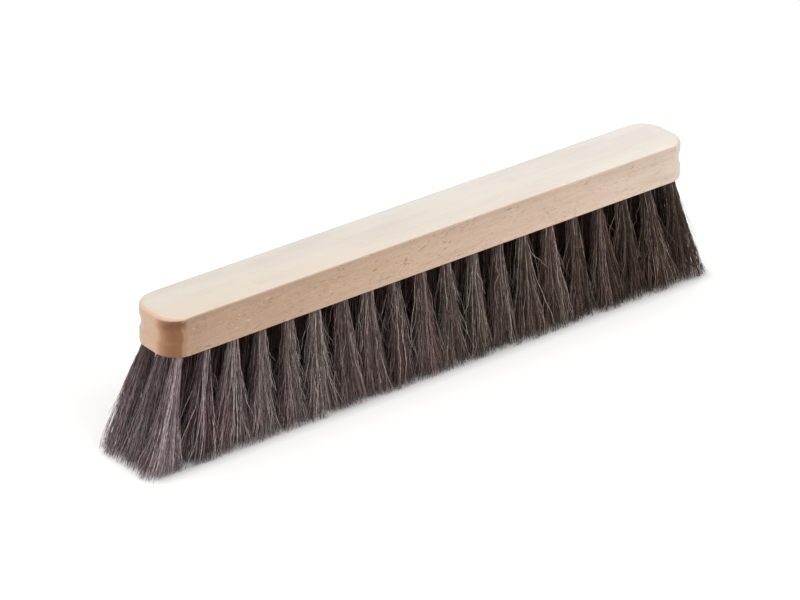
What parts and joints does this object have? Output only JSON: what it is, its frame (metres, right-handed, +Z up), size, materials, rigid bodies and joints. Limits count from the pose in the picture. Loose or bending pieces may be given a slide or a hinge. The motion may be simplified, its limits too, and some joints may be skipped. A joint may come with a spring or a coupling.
{
  "type": "hand brush",
  "caption": "Wooden hand brush: a long round-cornered beech block with a finger groove under its lip and rows of horsehair tufts set in its drilled underside.",
  "frame": {"origin": "on the floor under the middle of the block, the plane that the hair tips stand on", "axes": "+Z up, +X along the block's length, +Y across the block"},
  "size_m": [0.3374, 0.0404, 0.0725],
  "materials": {
    "beech": "smooth-sanded pale beech with fine grain and pore flecks, thin clear finish",
    "horsehair": "grey-brown to nearly black horsehair, satin strands"
  },
  "bodies": {
    "root": {"block": "beech", "tuft_column_01": "horsehair", "tuft_column_02": "horsehair", "tuft_column_03": "horsehair", "tuft_column_04": "horsehair", "tuft_column_05": "horsehair", "tuft_column_06": "horsehair", "tuft_column_07": "horsehair", "tuft_column_08": "horsehair", "tuft_column_09": "horsehair", "tuft_column_10": "horsehair", "tuft_column_11": "horsehair", "tuft_column_12": "horsehair", "tuft_column_13": "horsehair", "tuft_column_14": "horsehair", "tuft_column_15": "horsehair", "tuft_column_16": "horsehair", "tuft_column_17": "horsehair", "tuft_column_18": "horsehair", "tuft_column_19": "horsehair", "tuft_column_20": "horsehair"}
  },
  "joints": []
}
